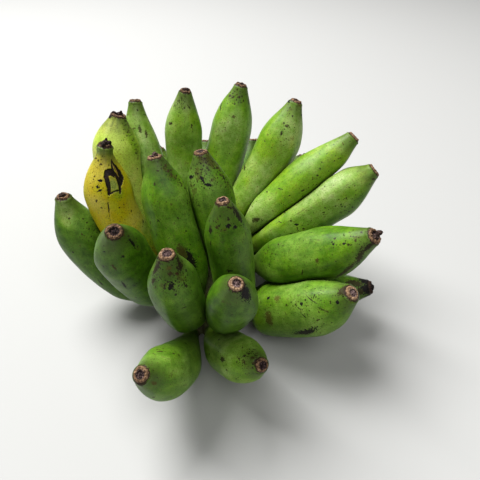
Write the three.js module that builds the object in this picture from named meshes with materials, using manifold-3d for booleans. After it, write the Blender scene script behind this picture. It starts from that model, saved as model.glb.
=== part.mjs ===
// A bunch of short, thick, green bananas radiating from a cut piece of stalk.
// Millimetres, +Z up. The cut face of the stalk lies on Z = 0 with its centre at the origin.
import * as THREE from "three";
import Module from "manifold-3d";

const wasm = await Module();
wasm.setup();

// One fruit: rings of skin points at these shares of its length, with a few faint ridges.
const STATIONS = [0, 0.07, 0.13, 0.19, 0.26, 0.35, 0.46, 0.57, 0.68, 0.77, 0.85, 0.91, 0.96, 1];
const SIDES = 15;
const RIDGES = 5;
const RIDGE_HEIGHT = 0.028;

// Thickness of its stem and its neck as shares of the full thickness, and where each one ends.
const STEM_SHARE = 0.34;
const STEM_END = 0.08;
const SHOULDER_LENGTH = 0.26;
const NECK_SHARE = 0.32;
const NECK_START = 0.985;
const NECK_LENGTH = 0.28;
const TAPER_POWER = 0.7;

// The dried scar at the tip: a corky rim round a shallow pit.
const SCAR_PIT = 0.66;
const SCAR_FLOOR = 0.5;
const SCAR_DEPTH = 1.4;

// Neighbours press each other flat, and each skin stays this far from the shared face.
const CLEARANCE = 0.35;
const CENTRE_SAMPLES = 60;

// The stalk piece, level by level: height, centre X, centre Y, half width, half depth.
const CROWN_SIDES = 24;
const CROWN_LEVELS = [
  [0, 0, 0, 25, 25],
  [3, -1, 0, 28, 28],
  [9, -5, 0, 36, 37],
  [20, -6, -1, 40, 41],
  [34, -6, 0, 41, 42],
  [45, -8, 8, 40, 36],
  [55, -8, 14, 35, 30],
  [61, -8, 16, 24, 20],
];
const CROWN_DOME = 2;
const SOCKET_GAP = 0.4;
const SOCKET_STATIONS = [0, 0.08, 0.14, 0.2, 0.27, 0.36, 0.48];

const GREEN = 0x5f9132;
const YELLOW = 0xc3b62a;
const STALK_BROWN = 0x5c5a3c;

// Every fruit: where its stem leaves the stalk, the heading and rise of the straight line to
// its tip in degrees, that line's length, its thickness, and how far its middle bows down
// and sways to the right of its heading. Some have a neck or shoulder of another length.
const FRUIT = {
  left_low: { root: [-40, -6, 12], heading: 171, rise: 54, reach: 134, girth: 40, bow: 22 },
  left_yellow: {
    root: [-38, 2, 34], heading: 157, rise: 70, reach: 132,
    girth: 38, bow: 18, sway: -8, neck: 0.24, neckStart: 0.95,
  },
  back_left_outer: {
    root: [-43, 18, 40], heading: 127, rise: 64, reach: 135,
    girth: 41, bow: 16, sway: -13, neck: 0.20,
  },
  back_left_inner: {
    root: [-38, 32, 48], heading: 118, rise: 60, reach: 133,
    girth: 37, bow: 9, sway: -6, neck: 0.42,
  },
  back_middle: { root: [-20, 38, 50], heading: 95, rise: 68, reach: 133, girth: 34, bow: 14, sway: -6 },
  back_right_inner: {
    root: [-10, 40, 54], heading: 61, rise: 60, reach: 138,
    girth: 37, bow: 12, sway: -6,
  },
  back_right_outer: { root: [4, 38, 50], heading: 33, rise: 56, reach: 141, girth: 38, bow: 8 },
  right_upper: { root: [16, 32, 52], heading: 11, rise: 43, reach: 141, girth: 40, bow: 2, neck: 0.42 },
  right_middle: { root: [23, 25, 44], heading: 4, rise: 37, reach: 139, girth: 42, bow: 2 },
  right_lower: { root: [27, 13, 40], heading: -30, rise: 36, reach: 131, girth: 44, bow: 7, neck: 0.38 },
  right_low_front: {
    root: [26, -14, 16], heading: -34, rise: 37, reach: 116,
    girth: 46, bow: 11, neck: 0.36, shoulder: 0.18,
  },
  right_low_back: { root: [28, 0, 13], heading: -11, rise: 16, reach: 113, girth: 40, bow: 3, neck: 0.45 },
  front_left_tall: { root: [-10.5, -34, 34], heading: 126, rise: 66, reach: 131, girth: 39.5, bow: 3 },
  front_middle_tall: { root: [20, -22, 34], heading: 127, rise: 69, reach: 129, girth: 38, bow: 4 },
  front_right_tall: {
    root: [19, -36, 32], heading: -106, rise: 78, reach: 135,
    girth: 31, bow: 6, sway: -4, neck: 0.22,
  },
  front_left_outer: {
    root: [-36, -18, 25], heading: 246, rise: 66, reach: 128,
    girth: 39, bow: 3, sway: 11,
  },
  front_left_inner: { root: [-16, -38, 30], heading: 264, rise: 66, reach: 124, girth: 34.5, bow: 10 },
  front_right: { root: [8, -42, 34], heading: -80, rise: 57, reach: 127, girth: 33, bow: 5 },
  front_low_left: {
    root: [-19, -36, 9], heading: 260, rise: 39, reach: 130,
    girth: 36.5, bow: 13, sway: -5, neck: 0.32, shoulder: 0.5,
  },
  front_low_right: {
    root: [-5, -38, 12], heading: -62, rise: 34, reach: 108,
    girth: 34, bow: 5, sway: 4, neck: 0.3, shoulder: 0.42,
  },
  back_low_left: { root: [-24, 28, 14], heading: 111, rise: 38, reach: 135, girth: 38, bow: 14 },
  back_low_middle: { root: [-8, 34, 14], heading: 93, rise: 40, reach: 135, girth: 38, bow: 14 },
  back_low_right: { root: [8, 34, 14], heading: 75, rise: 41, reach: 137, girth: 38, bow: 14 },
  right_low_rear: { root: [20, 24, 20], heading: 51, rise: 38, reach: 131, girth: 38, bow: 9 },
};
const RIPE = "left_yellow";

const clamp01 = (x) => Math.min(1, Math.max(0, x));
const smooth = (x) => x * x * (3 - 2 * x);

// Radius along the fruit: thin stem, full body, bottle neck at the tip.
function radiusAt(fruit, s) {
  const shoulder = smooth(clamp01((s - STEM_END) / (fruit.shoulder ?? SHOULDER_LENGTH)) ** TAPER_POWER);
  const neck = smooth(clamp01(((fruit.neckStart ?? NECK_START) - s) / (fruit.neck ?? NECK_LENGTH)) ** TAPER_POWER);
  const stemShare = STEM_SHARE + (1 - STEM_SHARE) * shoulder;
  const neckShare = NECK_SHARE + (1 - NECK_SHARE) * neck;
  return (fruit.girth / 2) * stemShare * neckShare;
}

// Level direction square to the fruit's heading, on its right-hand side.
function rightOf(fruit) {
  const heading = THREE.MathUtils.degToRad(fruit.heading);
  return new THREE.Vector3(Math.sin(heading), -Math.cos(heading), 0);
}

// The bowed centre line, from the stem's root to the scar at the tip.
function centreLine(fruit) {
  const upAngle = Math.PI / 2 - THREE.MathUtils.degToRad(fruit.rise);
  const heading = THREE.MathUtils.degToRad(fruit.heading);
  const chord = new THREE.Vector3(Math.cos(heading), Math.sin(heading), 0).multiplyScalar(Math.sin(upAngle));
  chord.z = Math.cos(upAngle);
  const right = rightOf(fruit);
  const down = new THREE.Vector3().crossVectors(chord, right);
  const root = new THREE.Vector3(...fruit.root);
  const tip = root.clone().addScaledVector(chord, fruit.reach);
  const bend = root.clone().lerp(tip, 0.5);
  bend.addScaledVector(down, 2 * fruit.bow);
  bend.addScaledVector(right, 2 * (fruit.sway ?? 0));
  return new THREE.QuadraticBezierCurve3(root, bend, tip);
}

// Point, direction and two square directions at each share, carried along without twisting.
function framesAlong(fruit, shares) {
  const line = centreLine(fruit);
  let side = rightOf(fruit);
  return shares.map((s) => {
    const point = line.getPoint(s);
    const direction = line.getTangent(s);
    side = side.clone().addScaledVector(direction, -side.dot(direction)).normalize();
    const other = new THREE.Vector3().crossVectors(direction, side);
    return { s, point, direction, side, other };
  });
}

// Direction away from the centre line at one angle round it.
function outwardAt(frame, angle) {
  const outward = frame.side.clone().multiplyScalar(Math.cos(angle));
  return outward.addScaledVector(frame.other, Math.sin(angle));
}

// Close points along the centre line with the radius there, for measuring how near it is.
function sampleCentre(fruit) {
  const line = centreLine(fruit);
  const samples = [];
  for (let i = 0; i <= CENTRE_SAMPLES; i += 1) {
    const s = i / CENTRE_SAMPLES;
    samples.push({ point: line.getPoint(s), radius: radiusAt(fruit, s) });
  }
  return samples;
}

// Distance from a point to a fruit's centre line as a share of that fruit's radius there.
function shareOutside(point, samples) {
  let least = Infinity;
  for (const sample of samples) {
    const share = (point.distanceTo(sample.point) - CLEARANCE) / sample.radius;
    least = Math.min(least, share);
  }
  return least;
}

// How far the skin reaches from the centre line before it meets a pressed face.
function pressedReach(centre, outward, radius, wanted, neighbours) {
  const isFree = (reach) => {
    const own = (reach + CLEARANCE) / radius;
    const point = centre.clone().addScaledVector(outward, reach);
    return neighbours.every((samples) => own <= shareOutside(point, samples));
  };
  if (isFree(wanted)) {
    return wanted;
  }
  let low = 0;
  let high = wanted;
  for (let step = 0; step < 14; step += 1) {
    const middle = (low + high) / 2;
    if (isFree(middle)) {
      low = middle;
    } else {
      high = middle;
    }
  }
  return low;
}

// One ring of skin points. The ridges fade out toward the stem and the neck.
function skinRing(fruit, frame, neighbours) {
  const radius = radiusAt(fruit, frame.s);
  const fade = smooth(clamp01((2 * radius) / fruit.girth / 0.4 - 1));
  const ring = [];
  for (let k = 0; k < SIDES; k += 1) {
    const angle = (2 * Math.PI * k) / SIDES;
    const outward = outwardAt(frame, angle);
    const wanted = radius * (1 + RIDGE_HEIGHT * fade * Math.cos(RIDGES * angle));
    const reach = pressedReach(frame.point, outward, radius, wanted, neighbours);
    ring.push(frame.point.clone().addScaledVector(outward, reach));
  }
  return ring;
}

// Rings joined to a closed skin, with one point closing each end.
function closedSkin(rings, startPoint, endPoint) {
  const positions = [startPoint, ...rings.flat(), endPoint];
  const sides = rings[0].length;
  const last = positions.length - 1;
  const faces = [];
  for (let k = 0; k < sides; k += 1) {
    const next = (k + 1) % sides;
    faces.push(0, 1 + next, 1 + k);
    for (let i = 0; i + 1 < rings.length; i += 1) {
      const a = 1 + i * sides + k;
      const b = 1 + i * sides + next;
      faces.push(a, b, a + sides);
      faces.push(b, b + sides, a + sides);
    }
    faces.push(last, last - sides + k, last - sides + next);
  }
  const geometry = new THREE.BufferGeometry();
  const flat = positions.flatMap((p) => [p.x, p.y, p.z]);
  geometry.setAttribute("position", new THREE.Float32BufferAttribute(flat, 3));
  geometry.setIndex(faces);
  return geometry;
}

// A ring drawn in toward its middle and moved along the given vector.
function insetRing(ring, middle, share, move) {
  return ring.map((p) => middle.clone().lerp(p, share).add(move));
}

// The whole fruit with its stem, neck and sunken scar, measured from its own root.
function fruitGeometry(fruit, neighbours) {
  const frames = framesAlong(fruit, STATIONS);
  const rings = frames.map((frame) => skinRing(fruit, frame, neighbours));
  const tip = frames.at(-1);
  const rim = rings.at(-1);
  const sink = tip.direction.clone().multiplyScalar(-SCAR_DEPTH);
  rings.push(insetRing(rim, tip.point, SCAR_PIT, new THREE.Vector3()));
  rings.push(insetRing(rim, tip.point, SCAR_FLOOR, sink));
  const geometry = closedSkin(rings, frames[0].point, tip.point.clone().add(sink));
  const [x, y, z] = fruit.root;
  return geometry.translate(-x, -y, -z);
}

// The room that a fruit's stem and shoulder take in the stalk piece.
function socketGeometry(fruit) {
  const frames = framesAlong(fruit, SOCKET_STATIONS);
  const cornerReach = 1 / Math.cos(Math.PI / SIDES);
  frames[0].point.addScaledVector(frames[0].direction, -SOCKET_GAP);
  const rings = frames.map((frame) => {
    const reach = (radiusAt(fruit, frame.s) * (1 + RIDGE_HEIGHT) + SOCKET_GAP) * cornerReach;
    const ring = [];
    for (let k = 0; k < SIDES; k += 1) {
      const outward = outwardAt(frame, (2 * Math.PI * k) / SIDES);
      ring.push(frame.point.clone().addScaledVector(outward, reach));
    }
    return ring;
  });
  return closedSkin(rings, frames[0].point, frames.at(-1).point);
}

function toSolid(geometry) {
  const mesh = new wasm.Mesh({
    numProp: 3,
    vertProperties: new Float32Array(geometry.attributes.position.array),
    triVerts: new Uint32Array(geometry.index.array),
  });
  return new wasm.Manifold(mesh);
}

function fromSolid(solid) {
  const mesh = solid.getMesh();
  const geometry = new THREE.BufferGeometry();
  geometry.setAttribute("position", new THREE.BufferAttribute(mesh.vertProperties, 3));
  geometry.setIndex(new THREE.BufferAttribute(mesh.triVerts, 1));
  return geometry;
}

// The stalk piece: a swollen, flat-cut stub with a socket round every stem.
function crownGeometry() {
  const rings = CROWN_LEVELS.map(([z, centreX, centreY, halfWidth, halfDepth]) => {
    const ring = [];
    for (let k = 0; k < CROWN_SIDES; k += 1) {
      const angle = (2 * Math.PI * k) / CROWN_SIDES;
      const x = centreX + halfWidth * Math.cos(angle);
      const y = centreY + halfDepth * Math.sin(angle);
      ring.push(new THREE.Vector3(x, y, z));
    }
    return ring;
  });
  const [topZ, topX, topY] = CROWN_LEVELS.at(-1);
  const top = new THREE.Vector3(topX, topY, topZ + CROWN_DOME);
  let solid = toSolid(closedSkin(rings, new THREE.Vector3(), top));
  for (const fruit of Object.values(FRUIT)) {
    solid = solid.subtract(toSolid(socketGeometry(fruit)));
  }
  return fromSolid(solid);
}

function skinMaterial(colour) {
  return new THREE.MeshStandardMaterial({ color: colour, roughness: 0.48, metalness: 0 });
}

function stalkMaterial() {
  return new THREE.MeshStandardMaterial({ color: STALK_BROWN, roughness: 0.8, metalness: 0 });
}

function namedMesh(name, geometry, material) {
  geometry.computeVertexNormals();
  const mesh = new THREE.Mesh(geometry, material);
  mesh.name = name;
  return mesh;
}

function bunch() {
  const group = new THREE.Group();
  group.add(namedMesh("crown", crownGeometry(), stalkMaterial()));
  const names = Object.keys(FRUIT);
  const centres = new Map(names.map((name) => [name, sampleCentre(FRUIT[name])]));
  for (const name of names) {
    const others = names.filter((other) => other !== name);
    const neighbours = others.map((other) => centres.get(other));
    const material = skinMaterial(name === RIPE ? YELLOW : GREEN);
    const mesh = namedMesh(`fruit_${name}`, fruitGeometry(FRUIT[name], neighbours), material);
    mesh.position.set(...FRUIT[name].root);
    group.add(mesh);
  }
  return group;
}

export default bunch();
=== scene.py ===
import math

import bmesh
import bpy
import numpy as np
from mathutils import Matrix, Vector, noise


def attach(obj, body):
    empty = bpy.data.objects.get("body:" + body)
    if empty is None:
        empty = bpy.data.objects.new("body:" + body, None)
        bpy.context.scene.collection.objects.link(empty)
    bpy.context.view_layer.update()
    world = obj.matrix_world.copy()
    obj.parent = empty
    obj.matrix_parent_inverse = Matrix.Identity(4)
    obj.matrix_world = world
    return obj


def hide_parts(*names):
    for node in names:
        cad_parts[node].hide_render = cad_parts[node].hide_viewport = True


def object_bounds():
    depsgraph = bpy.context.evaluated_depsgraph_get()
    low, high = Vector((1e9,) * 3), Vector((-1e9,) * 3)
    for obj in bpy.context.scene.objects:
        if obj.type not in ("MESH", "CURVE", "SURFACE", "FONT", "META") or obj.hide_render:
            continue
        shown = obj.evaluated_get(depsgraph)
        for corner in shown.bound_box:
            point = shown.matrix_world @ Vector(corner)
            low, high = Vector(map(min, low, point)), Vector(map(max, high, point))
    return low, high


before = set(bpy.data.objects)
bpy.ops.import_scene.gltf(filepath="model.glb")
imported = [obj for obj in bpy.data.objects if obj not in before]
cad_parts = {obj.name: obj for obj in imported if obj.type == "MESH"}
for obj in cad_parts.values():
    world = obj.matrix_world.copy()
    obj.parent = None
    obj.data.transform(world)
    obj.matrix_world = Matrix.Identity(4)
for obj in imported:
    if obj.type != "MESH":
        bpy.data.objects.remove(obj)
cad_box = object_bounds()

# The crown: the cut piece of stalk that all the fruits grow from. Its skin is firm, fibrous
# tissue that swells into a collar round every stem, and its foot is a level knife cut, dried
# pale brown with darker strands and latex stains. The whole bunch stands on that cut.

MM = 0.001

# Every fruit, in millimetres and degrees: where its stem leaves the crown, the heading and rise of
# the straight line to its tip, that line's length, its thickness, and how far its middle bows down
# and sways to the right. Then, as shares of its length, how long its shoulder and its neck are and
# where the neck ends, and its ripeness, from 0, deep green, to 1, yellow.
FIELDS = (
    "root", "heading", "rise", "reach", "girth", "bow", "sway", "shoulder", "neck", "neck_end", "ripeness",
)
FRUIT_ROWS = {
    "left_low": ((-40, -6, 12), 171, 54, 134, 40, 22, 0, 0.26, 0.28, 0.985, 0.15),
    "left_yellow": ((-38, 2, 34), 157, 70, 132, 38, 18, -8, 0.26, 0.24, 0.95, 0.92),
    "back_left_outer": ((-43, 18, 40), 127, 64, 135, 41, 16, -13, 0.26, 0.2, 0.985, 0.86),
    "back_left_inner": ((-38, 32, 48), 118, 60, 133, 37, 9, -6, 0.26, 0.42, 0.985, 0.5),
    "back_middle": ((-20, 38, 50), 95, 68, 133, 34, 14, -6, 0.26, 0.28, 0.985, 0.42),
    "back_right_inner": ((-10, 40, 54), 61, 60, 138, 37, 12, -6, 0.26, 0.28, 0.985, 0.4),
    "back_right_outer": ((4, 38, 50), 33, 56, 141, 38, 8, 0, 0.26, 0.28, 0.985, 0.5),
    "right_upper": ((16, 32, 52), 11, 43, 141, 40, 2, 0, 0.26, 0.42, 0.985, 0.46),
    "right_middle": ((23, 25, 44), 4, 37, 139, 42, 2, 0, 0.26, 0.28, 0.985, 0.48),
    "right_lower": ((27, 13, 40), -30, 36, 131, 44, 7, 0, 0.26, 0.38, 0.985, 0.25),
    "right_low_front": ((26, -14, 16), -34, 37, 116, 46, 11, 0, 0.18, 0.36, 0.985, 0.3),
    "right_low_back": ((28, 0, 13), -11, 16, 113, 40, 3, 0, 0.26, 0.45, 0.985, 0.15),
    "front_left_tall": ((-10.5, -34, 34), 126, 66, 131, 39.5, 3, 0, 0.26, 0.28, 0.985, 0.26),
    "front_middle_tall": ((20, -22, 34), 127, 69, 129, 38, 4, 0, 0.26, 0.28, 0.985, 0.25),
    "front_right_tall": ((19, -36, 32), -106, 78, 135, 31, 6, -4, 0.26, 0.22, 0.985, 0.18),
    "front_left_outer": ((-36, -18, 25), 246, 66, 128, 39, 3, 11, 0.26, 0.28, 0.985, 0.12),
    "front_left_inner": ((-16, -38, 30), 264, 66, 124, 34.5, 10, 0, 0.26, 0.28, 0.985, 0.17),
    "front_right": ((8, -42, 34), -80, 57, 127, 33, 5, 0, 0.26, 0.28, 0.985, 0.11),
    "front_low_left": ((-19, -36, 9), 260, 39, 130, 36.5, 13, -5, 0.5, 0.32, 0.985, 0.26),
    "front_low_right": ((-5, -38, 12), -62, 34, 108, 34, 5, 4, 0.42, 0.3, 0.985, 0.36),
    "back_low_left": ((-24, 28, 14), 111, 38, 135, 38, 14, 0, 0.26, 0.28, 0.985, 0.25),
    "back_low_middle": ((-8, 34, 14), 93, 40, 135, 38, 14, 0, 0.26, 0.28, 0.985, 0.3),
    "back_low_right": ((8, 34, 14), 75, 41, 137, 38, 14, 0, 0.26, 0.28, 0.985, 0.22),
    "right_low_rear": ((20, 24, 20), 51, 38, 131, 38, 9, 0, 0.26, 0.28, 0.985, 0.28),
}
FRUIT = {name: dict(zip(FIELDS, row)) for name, row in FRUIT_ROWS.items()}

# The share of every fruit's length where its shoulder begins, and the thickness of its stem and of
# its tip as shares of its own.
SHOULDER_START = 0.08
STEM_GIRTH, TIP_GIRTH = 0.34, 0.32

# The crown's skin, level by level in millimetres: height, centre X, centre Y, half width, half depth.
CROWN_LEVELS = [
    (-8, 0, 0, 23, 23),
    (0, 0, 0, 25, 25),
    (3, -1, 0, 28, 28),
    (9, -5, 0, 36, 37),
    (20, -6, -1, 40, 41),
    (34, -6, 0, 41, 42),
    (45, -8, 8, 40, 36),
    (55, -8, 14, 35, 30),
    (61, -8, 16, 24, 20),
    (63, -8, 16, 8, 7),
]
CROWN_SIDES = 48

# The collar round each stem: shares of the fruit's length, and its reach over the stem's own radius.
COLLAR_SHARES = (-0.06, -0.02, 0.02, 0.06, 0.1)
COLLAR_OVER_STEM = (1.1, 1.35, 1.3, 1.14, 0.9)

# The tissue's finest form, and its large and small lumps, in millimetres.
TISSUE_GRAIN = 1.4
LUMP, SMALL_LUMP, LUMP_HEIGHT = 9, 3.5, 0.7


def linear(colour):
    """An sRGB hex colour as the linear values that a shader takes."""
    parts = [int(colour[i:i + 2], 16) / 255 for i in (1, 3, 5)]
    return [c / 12.92 if c <= 0.04045 else ((c + 0.055) / 1.055) ** 2.4 for c in parts] + [1.0]


def smooth(x):
    """An even rise from 0 to 1, level at both ends."""
    x = np.clip(x, 0, 1)
    return x * x * (3 - 2 * x)


def square_to(directions, start):
    """A direction square to each of the given ones, carried along without twisting."""
    sides = []
    side = start
    for direction in directions:
        side = side - direction * side.dot(direction)
        side = side / np.linalg.norm(side)
        sides.append(side)
    return np.array(sides)


def frames_along(fruit, shares):
    """Points on the bowed centre line at these shares, with the directions along and across it."""
    heading, rise = math.radians(fruit["heading"]), math.radians(fruit["rise"])
    chord = np.array([math.cos(heading) * math.cos(rise), math.sin(heading) * math.cos(rise), math.sin(rise)])
    right = np.array([math.sin(heading), -math.cos(heading), 0.0])
    down = np.cross(chord, right)
    root = np.array(fruit["root"], float)
    tip = root + chord * fruit["reach"]
    bend = (root + tip) / 2 + down * 2 * fruit["bow"] + right * 2 * fruit["sway"]
    s = np.asarray(shares, float)[:, None]
    points = root * (1 - s) ** 2 + bend * 2 * s * (1 - s) + tip * s ** 2
    along = (bend - root) * 2 * (1 - s) + (tip - bend) * 2 * s
    along /= np.linalg.norm(along, axis=1, keepdims=True)
    across = square_to(along, right)
    return points, along, across, np.cross(along, across)


def radius_at(fruit, shares):
    """Half the thickness: a thin stem, the full body, then a bottle neck to the scar at the tip."""
    s = np.asarray(shares, float)
    shoulder = smooth(np.clip((s - SHOULDER_START) / fruit["shoulder"], 0, 1) ** 0.7)
    neck = smooth(np.clip((fruit["neck_end"] - s) / fruit["neck"], 0, 1) ** 0.7)
    swelling = STEM_GIRTH + (1 - STEM_GIRTH) * shoulder
    return fruit["girth"] / 2 * swelling * (TIP_GIRTH + (1 - TIP_GIRTH) * neck)


def rings_to_faces(rings, sides, first=0):
    """Quads between rings, and a fan to the point before the first ring and the one after the last."""
    faces = []
    end = first + 1 + rings * sides
    for k in range(sides):
        n = (k + 1) % sides
        faces.append((first, first + 1 + n, first + 1 + k))
        for i in range(rings - 1):
            a, b = first + 1 + i * sides + k, first + 1 + i * sides + n
            faces.append((a, b, b + sides, a + sides))
        faces.append((end, end - sides + k, end - sides + n))
    return faces


def new_piece(name, points, faces):
    """A mesh object of the given points in metres, smoothly shaded."""
    mesh = bpy.data.meshes.new(name)
    mesh.from_pydata([tuple(p) for p in points], [], faces)
    mesh.shade_smooth()
    mesh.validate()
    piece = bpy.data.objects.new(name, mesh)
    bpy.context.collection.objects.link(piece)
    return piece


def store(piece, name, values):
    """Keeps a number or a vector for every point of the mesh, for its material to read."""
    values = np.asarray(values, np.float32)
    kind, field = ("FLOAT_VECTOR", "vector") if values.ndim == 2 else ("FLOAT", "value")
    attribute = piece.data.attributes.new(name, kind, "POINT")
    attribute.data.foreach_set(field, values.ravel())


def with_modifiers(piece, *steps):
    """Runs the modifiers, each given as its kind and settings, and keeps their result as the mesh."""
    for kind, settings in steps:
        modifier = piece.modifiers.new(kind, kind)
        for name, value in settings.items():
            setattr(modifier, name, value)
    shaped = bpy.data.meshes.new_from_object(piece.evaluated_get(bpy.context.evaluated_depsgraph_get()))
    shaped.name = piece.name
    piece.modifiers.clear()
    piece.data = shaped


def crown_points():
    """The swollen stub and, round every stem, a collar of tissue: closed skins that are joined next."""
    angles = np.linspace(0, 2 * np.pi, CROWN_SIDES, endpoint=False)
    points = [np.array([0, 0, CROWN_LEVELS[0][0]])]
    for z, x, y, wide, deep in CROWN_LEVELS:
        points += [np.array([x + wide * math.cos(a), y + deep * math.sin(a), z]) for a in angles]
    top_z, top_x, top_y = CROWN_LEVELS[-1][:3]
    points.append(np.array([top_x, top_y, top_z]))
    faces = rings_to_faces(len(CROWN_LEVELS), CROWN_SIDES)
    for fruit in FRUIT.values():
        centre, along, across, other = frames_along(fruit, COLLAR_SHARES)
        first = len(points)
        points.append(centre[0])
        for c, u, v, share in zip(centre, across, other, COLLAR_OVER_STEM):
            reach = radius_at(fruit, [0])[0] * share
            points += [c + (u * math.cos(a) + v * math.sin(a)) * reach for a in angles[::2]]
        points.append(centre[-1])
        faces += rings_to_faces(len(COLLAR_SHARES), CROWN_SIDES // 2, first)
    return np.array(points) * MM, faces


def add(tree, kind, inputs=(), out=0, stops=(), **settings):
    """Adds a node with its settings, its colour stops and its inputs, by name or in order, each a
    value or another node's output, and gives the wanted output. A kind in capitals is a Math
    node's operation."""
    made = tree.nodes.new("ShaderNode" + ("Math" if kind.isupper() else kind))
    if kind.isupper():
        made.operation = kind
    for name, value in settings.items():
        setattr(made, name, value)
    for number, (place, colour) in enumerate(stops):
        elements = made.color_ramp.elements
        stop = elements[number] if number < 2 else elements.new(place)
        stop.position, stop.color = place, linear(colour)
    for name, value in inputs.items() if isinstance(inputs, dict) else enumerate(inputs):
        if isinstance(value, bpy.types.NodeSocket):
            tree.links.new(value, made.inputs[name])
        else:
            made.inputs[name].default_value = value
    return made.outputs[out]


def stalk_material():
    """Stalk tissue: dull and fibrous, drying from green-brown to grey, with the paler knife cut below."""
    material = bpy.data.materials.new("Stalk tissue, drying")
    material.use_nodes = True
    tree = material.node_tree
    shader = tree.nodes["Principled BSDF"]
    place = add(tree, "TexCoord", out="Object")
    blotch = add(tree, "TexNoise", {"Vector": place, "Scale": 1 / (12 * MM), "Detail": 5})
    strand_place = add(tree, "Mapping", {"Vector": place, "Scale": (1.0, 1.0, 0.15)})
    strand = add(tree, "TexNoise", {"Vector": strand_place, "Scale": 1 / (1.6 * MM), "Detail": 3})
    tone = add(tree, "ADD", [blotch, strand])
    half = add(tree, "MULTIPLY", [tone, 0.5])
    skin_stops = [(0.3, "#2a2518"), (0.45, "#4a4a2c"), (0.56, "#5f6438"), (0.7, "#7b6f4e")]
    skin = add(tree, "ValToRGB", [half], stops=skin_stops)
    flesh_stops = [(0.3, "#4a3322"), (0.47, "#8a6c48"), (0.62, "#b39a70")]
    flesh = add(tree, "ValToRGB", [half], stops=flesh_stops)
    cut = add(tree, "Attribute", out="Fac", attribute_name="cut")
    colour = add(tree, "Mix", {0: cut, 6: skin, 7: flesh}, out=2, data_type="RGBA")
    tree.links.new(colour, shader.inputs["Base Color"])
    shader.inputs["Roughness"].default_value = 0.78
    shader.inputs["IOR"].default_value = 1.45
    bump = add(tree, "Bump", {"Strength": 0.6, "Distance": 0.6 * MM, "Height": half})
    tree.links.new(bump, shader.inputs["Normal"])
    return material


crown = new_piece("stalk_crown", *crown_points())
with_modifiers(
    crown,
    ("REMESH", dict(mode="VOXEL", voxel_size=TISSUE_GRAIN * MM, use_smooth_shade=True)),
    ("SMOOTH", dict(factor=0.5, iterations=10)),
)
shape = bmesh.new()
shape.from_mesh(crown.data)
for corner in shape.verts:
    lump = noise.noise(corner.co / (LUMP * MM)) + 0.5 * noise.noise(corner.co / (SMALL_LUMP * MM))
    corner.co += corner.normal * LUMP_HEIGHT * MM * (lump - 0.6)
everything = shape.verts[:] + shape.edges[:] + shape.faces[:]
cut_edges = bmesh.ops.bisect_plane(
    shape, geom=everything, plane_co=(0, 0, 0), plane_no=(0, 0, -1), clear_outer=True
)["geom_cut"]
bmesh.ops.edgeloop_fill(shape, edges=[e for e in cut_edges if isinstance(e, bmesh.types.BMEdge)])
bmesh.ops.recalc_face_normals(shape, faces=shape.faces)
for face in shape.faces:
    face.smooth = face.normal.z > -0.99
for corner in shape.verts:
    corner.co.z = max(corner.co.z, 0)
shape.to_mesh(crown.data)
shape.free()
heights = np.array([v.co.z for v in crown.data.vertices])
store(crown, "cut", heights < 0.2 * MM)
crown.data.materials.clear()
crown.data.materials.append(stalk_material())
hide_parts("crown")
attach(crown, "root")

# The green fruits: unripe bananas with a tough, waxy peel of five faint ridges. Each swells from
# its stem and draws in to a bottle neck, where the flower has left a corky ring round a dried,
# sunken core. They are pressed flat against each other where they grew side by side.

SIDES = 80
BODY_SHARES = np.concatenate([
    np.linspace(0, 0.3, 34, endpoint=False),
    np.linspace(0.3, 0.7, 30, endpoint=False),
    np.linspace(0.7, 0.972, 40),
])

# The scar, ring by ring: millimetres behind the tip, share of the scar's radius, how far the neck
# has drawn in to the scar, and how far the ring is cork and how far it is the dried core.
SCAR = [
    (3.3, 1.06, 0.03, 0, 0),
    (2.8, 1.04, 0.15, 0.08, 0),
    (2.3, 1.02, 0.4, 0.25, 0),
    (1.8, 1, 0.75, 0.5, 0),
    (1.35, 1, 0.92, 0.8, 0),
    (0.95, 0.99, 1, 1, 0),
    (0.55, 0.95, 1, 1, 0),
    (0.25, 0.89, 1, 1, 0),
    (0.15, 0.81, 1, 1, 0),
    (0.35, 0.75, 1, 1, 0.05),
    (0.2, 0.68, 1, 1, 0.1),
    (0.4, 0.61, 1, 0.8, 0.35),
    (1.0, 0.55, 1, 0.3, 0.8),
    (1.6, 0.47, 1, 0, 1),
    (1.8, 0.38, 1, 0, 1),
    (1.6, 0.28, 1, 0, 1),
    (1.1, 0.19, 1, 0, 0.85),
    (0.9, 0.09, 1, 0, 0.75),
]

# Each fruit's scar: its thickness as a share of the neck's, its tone from 0, dark, to 1, pale tan,
# with near black below 0, and by how many degrees the peel's ridges are turned round the fruit.
SCARS = {
    "left_low": (0.72, 0.3, -6),
    "left_yellow": (0.8, 0.0, -6),
    "back_left_outer": (0.95, 0.2, -2),
    "back_left_inner": (0.85, 0.3, 0),
    "back_middle": (0.85, 0.3, 8),
    "back_right_inner": (0.82, 0.3, 34),
    "back_right_outer": (0.78, 0.45, -15),
    "right_upper": (0.8, 0.7, 24),
    "right_middle": (0.88, 0.6, 26),
    "right_lower": (0.86, 0.5, 0),
    "right_low_front": (0.7, 0.9, 12),
    "right_low_back": (0.85, -0.6, 0),
    "front_left_tall": (0.88, 0.6, 0),
    "front_middle_tall": (0.84, 0.5, 22),
    "front_right_tall": (0.76, 0.75, 16),
    "front_left_outer": (0.84, 0.25, -26),
    "front_left_inner": (0.88, 0.7, 10),
    "front_right": (0.8, 0.95, 0),
    "front_low_left": (0.8, 0.6, 20),
    "front_low_right": (0.8, 0.45, 30),
    "back_low_left": (0.84, 0.6, 12),
    "back_low_middle": (0.77, 0.3, -20),
    "back_low_right": (0.87, 0.75, 28),
    "right_low_rear": (0.8, 0.15, 5),
}

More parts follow.
